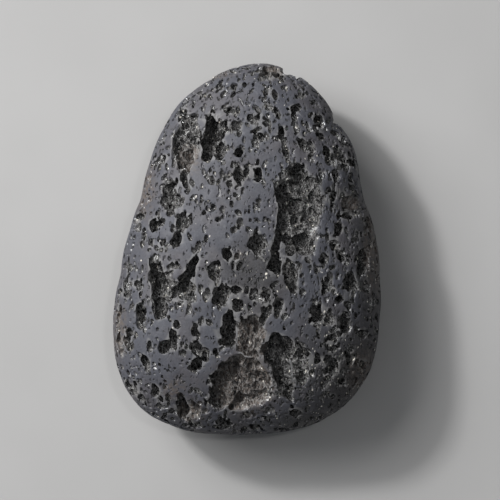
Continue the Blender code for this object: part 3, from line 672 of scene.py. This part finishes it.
def largest_piece(points, faces):
    """Drops crumbs that float in a hollow and bubbles that no hollow opens."""
    label = np.arange(len(points))
    one, two = faces.ravel(), np.roll(faces, 1, axis=1).ravel()
    while True:
        low = np.minimum(label[one], label[two])
        high = np.maximum(label[one], label[two])
        apart = low != high
        if not apart.any():
            break
        np.minimum.at(label, high[apart], low[apart])
        while (label != label[label]).any():
            label = label[label]
    kept = label == np.bincount(label).argmax()
    number = np.cumsum(kept) - 1
    return points[kept], number[faces[kept[faces[:, 0]]]]


def closed_in(field):
    """The share of rock around each grid point, in a cube about 1.2 across."""
    solid = (field < 0).astype(np.float32)
    half = 4
    for axis in range(3):
        total = np.cumsum(solid, axis=axis, dtype=np.float32)
        solid = (np.roll(total, -half, axis=axis) - np.roll(total, half + 1, axis=axis)) / (2 * half + 1)
    return solid


def sampled(grid, rock, points):
    """A grid's value at points, between its nearest eight."""
    at = (points - rock.origin) / STEP
    whole = np.clip(np.floor(at).astype(int), 0, np.array(rock.shape) - 2)
    part = at - whole
    return sum(
        np.where(corner, part, 1 - part).prod(axis=1) * grid[tuple((whole + corner).T)] for corner in CORNERS
    )


def added(name, data):
    """A new object in the scene that shows a mesh, a light or a camera."""
    thing = bpy.data.objects.new(name, data)
    bpy.context.scene.collection.objects.link(thing)
    return thing


def new_mesh(name, points, faces):
    mesh = bpy.data.meshes.new(name)
    mesh.vertices.add(len(points))
    mesh.vertices.foreach_set("co", np.ascontiguousarray(points, np.float32).ravel())
    mesh.loops.add(faces.size)
    mesh.loops.foreach_set("vertex_index", faces.astype(np.int32).ravel())
    mesh.polygons.add(len(faces))
    mesh.polygons.foreach_set("loop_start", np.arange(0, faces.size, faces.shape[1], dtype=np.int32))
    mesh.update(calc_edges=True)
    return mesh


def read(mesh, name):
    """A value of three numbers of every point of a mesh, such as its place."""
    values = np.empty(len(mesh.vertices) * 3, np.float32)
    mesh.vertices.foreach_get(name, values)
    return values.reshape(-1, 3)


def spots_of(mesh):
    """The places of a mesh's points in drawn units, with Z from the widest level."""
    return read(mesh, "co") / UNIT - np.array((0, 0, REST))


def smooth_step(values, low, high):
    share = np.clip((values - low) / (high - low), 0, 1)
    return share * share * (3 - 2 * share)


def lighten(thing):
    """Joins the flatter faces, first of the hidden underside and then of the whole piece."""
    hidden = smooth_step(-spots_of(thing.data)[:, 2], -UNDERSIDE_TOP, UNDERSIDE_FADE - UNDERSIDE_TOP)
    under = thing.vertex_groups.new(name="underside")
    for step in range(1, UNDERSIDE_STEPS + 1):
        members = np.nonzero(np.round(hidden * UNDERSIDE_STEPS) == step)[0]
        under.add(members.tolist(), step / UNDERSIDE_STEPS, "REPLACE")
    first = thing.modifiers.new("lighter_underside", "DECIMATE")
    first.ratio = 1 - float(hidden.mean()) * (1 - UNDERSIDE_SHARE)
    first.vertex_group = under.name
    first.vertex_group_factor = 1.0
    second = thing.modifiers.new("lighter", "DECIMATE")
    second.ratio = FACE_LIMIT / (2 * len(thing.data.polygons) * first.ratio)
    graph = bpy.context.evaluated_depsgraph_get()
    rough = thing.data
    finished = bpy.data.meshes.new_from_object(thing.evaluated_get(graph))
    thing.modifiers.clear()
    thing.vertex_groups.clear()
    thing.data = finished
    bpy.data.meshes.remove(rough)


# Places where dust and rust lie in the hollows: x, y, half width and half length.
DUSTY = [
    (-0.6, -21.6, 5, 5), (0.6, -14.4, 2.6, 3.8), (-11.6, -22, 2, 1.8), (-8.6, -25.8, 2.4, 2),
    (-9.2, 14.2, 2, 2.4), (-16.2, 9.6, 1.6, 5), (-20.4, -13, 1.4, 4.5), (20.2, 0, 1.8, 7),
    (4.2, 28.2, 1.6, 1.4), (-1.2, -1.2, 0.8, 0.7), (16.4, 7.2, 1.6, 1.2), (18.4, -20, 2.4, 4),
    (-6, 28, 4, 1),
]
# Places where painted shade makes the skin darker and a little browner, mostly on the slopes at the lower
# right that turn from the light, as above, and how much of either there is below.
PAINTED_SHADE_PLACES = [(15.5, -19.5, 9.5, 9.5), (20.5, -3.0, 4.0, 12.0), (1.0, -4.5, 6.0, 5.5), (9.0, -27.5, 5.0, 2.5)]
AMOUNT_BELOW = 0.35


def amount_in(places, spots):
    """How much of something lies at each spot: 1 in the middle of a place and less towards its edge."""
    amount = np.zeros(len(spots))
    for x, y, half_width, half_length in places:
        far = ((spots[:, 0] - x) / half_width) ** 2 + ((spots[:, 1] - y) / half_length) ** 2
        amount = np.maximum(amount, np.exp(-(far**1.5)))
    return np.where(spots[:, 2] < 0, AMOUNT_BELOW, amount)


def pitting(spots):
    """How much of the skin has pin-sized pits: most on the right, the ends and the flanks."""
    x, y, z = spots.T
    right = smooth_step(x, 4, 13)
    broad_end, narrow_end = smooth_step(-y, 17, 25), 0.6 * smooth_step(y, 14, 24)
    flank = smooth_step(-z, -5, 0)
    least = 0.35
    return least + (1 - least) * np.max((right, broad_end, narrow_end, flank), axis=0)


def levelness(mesh, spots):
    """1 where the surface lies along the skin, as on it and on the floors of hollows, 0 on steep walls."""
    along = (read(mesh, "normal") * outward(spots.astype(np.float64))).sum(axis=1)
    return smooth_step(along, 0.35, 0.95)


def bubbly_rock():
    """The rock's mesh, with values on it for its materials."""
    rock = Rock()
    rock.cut_row(HOLLOWS)
    rock.cut_row(belly_hollows(), side=-1)
    for x, y, width, length, height in BITES:
        rock.cut(np.array((x, y, 0.0)), np.eye(3), np.array((width, length, height)) / 2)
    cut_small_bubbles(rock)
    roughen_walls(rock)
    plain_skin = rock.skin.copy()
    field = mend_corners(finished_field(rock))
    points, faces = largest_piece(*surface(field))
    name = "lava_rock_dressed"
    places = (rock.origin + points * STEP + np.array((0, 0, REST))) * UNIT
    thing = added(name, new_mesh(name, places, faces))
    lighten(thing)
    spots = spots_of(thing.data)
    depth = -sampled(plain_skin, rock, spots)
    deepest = 4.0
    # Some of these values place painted light: how closed in a place is sets painted shade in nooks and
    # painted highlights on rims, how level it is paints the floors paler, and one value marks the places of
    # painted shade on the skin.
    values = {
        "hollow": smooth_step(depth, 0.10, 0.32), "depth": np.clip(depth / deepest, 0, 1),
        "nook": np.clip(sampled(closed_in(field), rock, spots), 0, 1), "level": levelness(thing.data, spots),
        "dust": amount_in(DUSTY, spots), "painted_shade": amount_in(PAINTED_SHADE_PLACES, spots), "pitted": pitting(spots),
    }
    for name, amounts in values.items():
        layer = thing.data.attributes.new(name, "FLOAT", "POINT")
        layer.data.foreach_set("value", np.ascontiguousarray(amounts, np.float32))
    thing.data.shade_smooth()
    thing.data.set_sharp_from_angle(angle=math.radians(CRISP_DEGREES))
    return thing


# How the cells of the textures are squeezed and drawn out, as lava flowed along Y, and how they are
# bent out of shape: the size of the bends and how far they reach.
FLOW = (1.15, 0.62, 1.0)
BEND_SIZE = 0.7
BEND_REACH = 0.7
HALF = (0.5, 0.5, 0.5)

# Cells of the textures: their size, and a shift that keeps them from lining up with each other.
BOWLS = (0.80, 20.0)
LITTLE_BOWLS = (0.42, 27.0)
FACETS = (0.24, 70.0)
SPECK_AND_GLINT_CELLS = (0.42, 5.0)
# Pits in the skin: cells as above, the share of cells with a pit, and the depth of the pits.
PITS = [((0.42, 47.0), 0.45, 0.14), ((0.62, 50.0), 0.70, 0.20), ((0.95, 55.0), 0.60, 0.34)]

# Colours of the worn skin and of its painted shade, of the hollows' walls and of the painted shade in their
# nooks, of dust, of the painted highlight on rims and ridges, and of pale grains that are also painted
# glints.
SKIN_COOL = (0.043, 0.045, 0.058)
SKIN_WARM = (0.051, 0.047, 0.054)
SKIN_PALE = (0.094, 0.096, 0.110)
SKIN_PAINTED_SHADE = (0.015, 0.013, 0.013)
SKIN_RUSTY = (0.090, 0.070, 0.056)
WALL_BLACK = (0.007, 0.007, 0.007)
WALL_GREY = (0.092, 0.087, 0.086)
NOOK_PAINTED_SHADE = (0.008, 0.007, 0.007)
DUST_DARK = (0.036, 0.022, 0.016)
DUST_PALE = (0.118, 0.090, 0.071)
PAINTED_RIM_HIGHLIGHT = (0.24, 0.235, 0.23)
SPECK_AND_PAINTED_GLINT = (0.72, 0.68, 0.60)

# The range of each roughness, and how deep each kind of relief is.
SKIN_ROUGHNESS = (0.62, 0.74)
GLASS_ROUGHNESS = (0.05, 0.24)
DUST_ROUGHNESS = 0.85
RIM_ROUGHNESS = 0.2
GLASSY_IOR = 1.65
GRAIN_DEPTH = 0.05
BOWL_DEPTH = 0.70
LITTLE_BOWL_DEPTH = 0.36
GRIT_DEPTH = 0.22


class Nodes:
    """Short calls for building a material's nodes. Sizes are in drawn units."""

    def __init__(self, material):
        material.use_nodes = True
        self.tree = material.node_tree
        self.shader = self.tree.nodes["Principled BSDF"]
        self.place = self.made("TexCoord", "Object", {})
        wander = self.vector("SUBTRACT", self.noise(BEND_SIZE, 0.0, 1.0, 0.5, "Color"), HALF)
        bent = self.vector("ADD", self.place, self.vector("SCALE", wander, BEND_REACH * UNIT))
        self.bent = self.vector("MULTIPLY", bent, FLOW)

    def feed(self, node, inputs):
        """Links or sets a node's inputs, each by its name or number."""
        for name, value in inputs.items():
            if isinstance(value, bpy.types.NodeSocket):
                self.tree.links.new(value, node.inputs[name])
            else:
                node.inputs[name].default_value = value

    def made(self, kind, output, inputs, **settings):
        """One output of a new node of a kind."""
        node = self.tree.nodes.new("ShaderNode" + kind)
        for name, setting in settings.items():
            setattr(node, name, setting)
        self.feed(node, inputs)
        return node.outputs[output]

    def value(self, name):
        return self.made("Attribute", "Fac", {}, attribute_name=name)

    def vector(self, kind, one, two=(0.0, 0.0, 0.0)):
        second = "Scale" if kind == "SCALE" else 1
        return self.made("VectorMath", 0, {0: one, second: two}, operation=kind)

    def maths(self, kind, one, two):
        return self.made("Math", 0, {0: one, 1: two}, operation=kind)

    def times(self, one, two):
        return self.maths("MULTIPLY", one, two)

    def ramp(self, value, low, high, to_low=0.0, to_high=1.0):
        """A smooth step from one amount where the value is low to another where it is high."""
        inputs = dict(enumerate((value, low, high, to_low, to_high)))
        return self.made("MapRange", "Result", inputs, interpolation_type="SMOOTHSTEP")

    def texture(self, kind, output, place, size, shift, inputs, **settings):
        """A texture of a size, moved by a shift from where it would lie."""
        place = self.vector("ADD", place, (shift * UNIT, 1.7 * shift * UNIT, 0.6 * shift * UNIT))
        inputs = {"Vector": place, "Scale": 1 / (size * UNIT), **inputs}
        return self.made(kind, output, inputs, **settings)

    def noise(self, size, shift, detail, rough, output="Fac"):
        """Noise in lumps about size across, with finer and finer detail in them."""
        inputs = {"Detail": detail, "Roughness": rough}
        return self.texture("TexNoise", output, self.place, size, shift, inputs)

    def cells(self, size, shift, output="Distance", feature="F1"):
        """Cells about size across: how far each place is from its cell's middle, or its colour."""
        return self.texture("TexVoronoi", output, self.bent, size, shift, {}, feature=feature)

    def walls_between(self, size, shift):
        """How near each place is to the thin wall between two cells: 0 on it."""
        return self.cells(size, shift, feature="DISTANCE_TO_EDGE")

    def lot(self, size, shift):
        """One number from 0 to 1 for each cell, drawn at random."""
        return self.made("SeparateColor", "Red", {"Color": self.cells(size, shift, "Color")})

    def mix(self, share, one, two):
        one, two = ((*tone, 1.0) if isinstance(tone, tuple) else tone for tone in (one, two))
        return self.made("Mix", 2, {0: share, 6: one, 7: two}, data_type="RGBA")

    def blend(self, share, one, two):
        return self.made("Mix", 0, {0: share, 2: one, 3: two})

    def bump(self, height, depth, below=None, strength=1.0):
        inputs = {"Height": height, "Distance": depth * UNIT, "Strength": strength}
        if below is not None:
            inputs["Normal"] = below
        return self.made("Bump", "Normal", inputs)

    def facets(self, normal, tilt):
        """The normal tilted at random from one small crystal to the next."""
        random_way = self.vector("SUBTRACT", self.cells(*FACETS, "Color"), HALF)
        tilted = self.vector("ADD", normal, self.vector("SCALE", random_way, tilt))
        return self.vector("NORMALIZE", tilted)


def skin_colour(nodes, grain):
    """Cool and warm grey in patches with paler grains, places of painted shade, and rusty places."""
    patches = nodes.noise(7.0, 0.0, 4.0, 0.6)
    colour = nodes.mix(nodes.ramp(patches, 0.42, 0.66), SKIN_COOL, SKIN_WARM)
    colour = nodes.mix(nodes.ramp(grain, 0.40, 0.75, 0.0, 0.40), colour, SKIN_PALE)
    # Painted shade: the skin is painted darker in the places of painted shade, a little less where the grain
    # is pale.
    painted_shade_share = nodes.times(nodes.value("painted_shade"), nodes.ramp(grain, 0.3, 0.7, 0.95, 0.55))
    colour = nodes.mix(painted_shade_share, colour, SKIN_PAINTED_SHADE)
    rust = nodes.ramp(nodes.noise(0.8, 60.0, 4.0, 0.7), 0.40, 0.60, 0.1, 0.8)
    return nodes.mix(nodes.times(nodes.value("dust"), rust), colour, SKIN_RUSTY)


def wall_colour(nodes, grit, blotches, dusty):
    """Black walls, painted lighter where the floors lie level and darker in the bowls' middles, with dust,
    painted shade in nooks and a painted highlight on the thin ridges.
    """
    # Painted light: level floors are painted paler as if lit from above, and the middles of the bowls darker
    # as painted shade.
    floors = nodes.ramp(nodes.value("level"), 0.0, 1.0, 0.25, 1.0)
    middles = nodes.ramp(nodes.cells(*BOWLS), 0.12, 0.50, 0.15, 1.0)
    paler = nodes.times(nodes.ramp(blotches, 0.36, 0.64), middles)
    colour = nodes.mix(nodes.times(paler, floors), WALL_BLACK, WALL_GREY)
    colour = nodes.mix(dusty, colour, nodes.mix(nodes.ramp(grit, 0.38, 0.64), DUST_DARK, DUST_PALE))
    # Painted shade: the more closed in a place is, the darker it is painted.
    colour = nodes.mix(nodes.ramp(nodes.value("nook"), 0.62, 0.90, 0.0, 0.5), colour, NOOK_PAINTED_SHADE)
    # Painted highlight: the thin ridges between bowls are painted pale.
    ridges = nodes.ramp(nodes.walls_between(*BOWLS), 0.02, 0.11, 0.6, 0.0)
    little_ridges = nodes.ramp(nodes.walls_between(*LITTLE_BOWLS), 0.02, 0.12, 0.4, 0.0)
    return nodes.mix(nodes.maths("MAXIMUM", ridges, little_ridges), colour, PAINTED_RIM_HIGHLIGHT)


def pits_in_skin(nodes, pitted, cells, share):
    """Small pits in the skin, -1 deep inside and 0 outside, one at most in each cell."""
    drawn = nodes.maths("LESS_THAN", nodes.lot(*cells), nodes.times(pitted, share))
    return nodes.times(drawn, nodes.ramp(nodes.cells(*cells), 0.32, 0.18, 0.0, -1.0))


def specks_and_painted_glints(nodes, hollow, pitted):
    """Pale grains that also stand in as painted glints, commonest in the hollows, in the painted shade and
    where the skin is pitted.
    """
    strewn = nodes.maths("MAXIMUM", nodes.ramp(pitted, 0.5, 1.0, 0.0, 0.40), nodes.value("painted_shade"))
    often = nodes.maths("MAXIMUM", hollow, strewn)
    lowest, highest = nodes.ramp(often, 0.0, 1.0, 0.99, 0.84), nodes.ramp(often, 0.0, 1.0, 1.0, 0.94)
    chosen = nodes.ramp(nodes.lot(*SPECK_AND_GLINT_CELLS), lowest, highest)
    return nodes.times(chosen, nodes.ramp(nodes.cells(*SPECK_AND_GLINT_CELLS), 0.36, 0.16))


def roughness(nodes, hollow, dusty):
    """Worn skin, glassy or dusty walls, and smooth rims between the two."""
    skin = nodes.ramp(nodes.noise(1.6, 14.0, 4.0, 0.6), 0.3, 0.7, *SKIN_ROUGHNESS)
    glassy = nodes.ramp(nodes.noise(0.5, 31.0, 2.0, 0.5), 0.42, 0.58, *GLASS_ROUGHNESS)
    wall = nodes.blend(dusty, glassy, DUST_ROUGHNESS)
    rim = nodes.times(nodes.ramp(hollow, 0.0, 0.3), nodes.ramp(hollow, 0.5, 1.0, 1.0, 0.0))
    return nodes.blend(rim, nodes.blend(hollow, skin, wall), RIM_ROUGHNESS)


def relief(nodes, hollow, grit, grain, pits):
    """Little bowls, grit and crystal facets deep in the hollows, grain and pits on the skin."""
    deep = nodes.ramp(nodes.value("depth"), 0.10, 0.35)
    broken = nodes.times(hollow, nodes.ramp(deep, 0.0, 1.0, 0.25, 1.0))
    normal = nodes.bump(nodes.cells(*BOWLS), BOWL_DEPTH, strength=broken)
    normal = nodes.bump(nodes.cells(*LITTLE_BOWLS), LITTLE_BOWL_DEPTH, normal, broken)
    normal = nodes.bump(grit, GRIT_DEPTH, normal, broken)
    normal = nodes.bump(grain, GRAIN_DEPTH, normal)
    for pit, (_, _, depth) in zip(pits, PITS):
        normal = nodes.bump(pit, depth, normal)
    return nodes.facets(normal, nodes.ramp(broken, 0.0, 1.0, 0.10, 0.95))


def worn_basalt():
    """Satin grey skin with painted shade, glassy black hollows, dusty brown floors, painted highlights on
    rims and a few bright grains that are also painted glints.
    """
    material = bpy.data.materials.new("worn_basalt")
    nodes = Nodes(material)
    hollow = nodes.value("hollow")
    # The places of painted shade also get more pits.
    pitted = nodes.maths("MAXIMUM", nodes.value("pitted"), nodes.value("painted_shade"))
    grain = nodes.noise(0.30, 3.0, 4.0, 0.70)
    grit = nodes.noise(0.42, 40.0, 5.0, 0.72)
    blotches = nodes.noise(1.0, 9.0, 5.0, 0.7)
    dust = nodes.times(nodes.value("dust"), nodes.ramp(blotches, 0.30, 0.55, 0.6, 1.3))
    dusty = nodes.ramp(dust, 0.25, 0.75, 0.0, 0.85)

    pits = [pits_in_skin(nodes, pitted, cells, share) for cells, share, _ in PITS]
    deepest = nodes.maths("MINIMUM", nodes.maths("MINIMUM", pits[0], pits[1]), pits[2])
    colour = nodes.mix(hollow, skin_colour(nodes, grain), wall_colour(nodes, grit, blotches, dusty))
    # Painted shade: the pits, which are only bumps, are painted black inside.
    colour = nodes.mix(nodes.ramp(deepest, -0.5, -0.95, 0.0, 0.85), colour, WALL_BLACK)
    # Painted highlight: the most open, outward-bulging places, as on the rims of hollows, are painted paler.
    colour = nodes.mix(nodes.ramp(nodes.value("nook"), 0.34, 0.22, 0.0, 0.4), colour, PAINTED_RIM_HIGHLIGHT)
    # Painted glints: small pale grains, bright as a glint on glass, strewn mostly in the hollows.
    colour = nodes.mix(specks_and_painted_glints(nodes, hollow, pitted), colour, SPECK_AND_PAINTED_GLINT)

    nodes.feed(nodes.shader, {
        "Base Color": colour, "Roughness": roughness(nodes, hollow, dusty), "Metallic": 0.0,
        "IOR": GLASSY_IOR, "Normal": relief(nodes, hollow, grit, grain, pits),
    })
    return material


FLOOR_HALF = 4.0
FLOOR_TONES = ((0.37, 0.365, 0.36), (0.39, 0.385, 0.38))
FLOOR_ROUGHNESS = 0.8


def plain_floor():
    material = bpy.data.materials.new("floor_paint")
    nodes = Nodes(material)
    tone = nodes.ramp(nodes.noise(30.0, 0.0, 3.0, 0.5), 0.3, 0.7)
    nodes.feed(nodes.shader, {"Base Color": nodes.mix(tone, *FLOOR_TONES), "Roughness": FLOOR_ROUGHNESS})
    mesh = bpy.data.meshes.new("floor")
    corners = [(x * FLOOR_HALF, y * FLOOR_HALF, 0) for x, y in ((-1, -1), (1, -1), (1, 1), (-1, 1))]
    mesh.from_pydata(corners, [], [range(4)])
    mesh.materials.append(material)
    floor = added("floor", mesh)


# Soft lights round the rock, in metres and watts: name, place, size, power and colour.
WHITE = (1.0, 1.0, 1.0)
LIGHTS = [
    ("window", (-0.43, 0.33, 0.44), 0.46, 4.95, WHITE),
    ("lamp", (-0.40, 0.32, 0.43), 0.07, 3.0, WHITE),
    ("sky", (-0.10, 0.00, 0.60), 0.8, 0.8, (0.92, 0.96, 1.0)),
    ("glint", (0.10, 0.07, 0.62), 0.035, 0.36, WHITE),
]
LIT_HEIGHT = 0.01
WORLD_COLOUR = (0.80, 0.85, 0.92, 1.0)
WORLD_STRENGTH = 0.05


def add_lights():
    for name, place, size, power, colour in LIGHTS:
        light = bpy.data.lights.new(name, "AREA")
        light.size = size
        light.energy = power
        light.color = colour
        lamp = added(name, light)
        lamp.location = place
        lamp.rotation_mode = "QUATERNION"
        lamp.rotation_quaternion = (Vector((0, 0, LIT_HEIGHT)) - Vector(place)).to_track_quat("-Z", "Y")
    world = bpy.data.worlds.new("studio")
    world.use_nodes = True
    background = world.node_tree.nodes["Background"]
    background.inputs["Color"].default_value = WORLD_COLOUR
    background.inputs["Strength"].default_value = WORLD_STRENGTH
    bpy.context.scene.world = world
    bpy.context.scene.view_settings.view_transform = "Standard"


# The view from straight above, in drawn units, and where its middle meets the rock's widest level.
VIEW_WIDTH = 80.8
VIEW_X, VIEW_Y = 0.44, -0.26
LENS = 150.0
SENSOR = 36.0


def add_camera():
    camera = bpy.data.cameras.new("camera")
    camera.lens = LENS
    camera.sensor_width = SENSOR
    eye = added("camera", camera)
    eye.location = (VIEW_X * UNIT, VIEW_Y * UNIT, (REST + VIEW_WIDTH * LENS / SENSOR) * UNIT)
    bpy.context.scene.camera = eye


def build_scene():
    rock = bubbly_rock()
    rock.data.materials.clear()
    rock.data.materials.append(worn_basalt())
    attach(rock, "root")
    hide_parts("lava_rock")
    plain_floor()
    add_camera()
    add_lights()


build_scene()
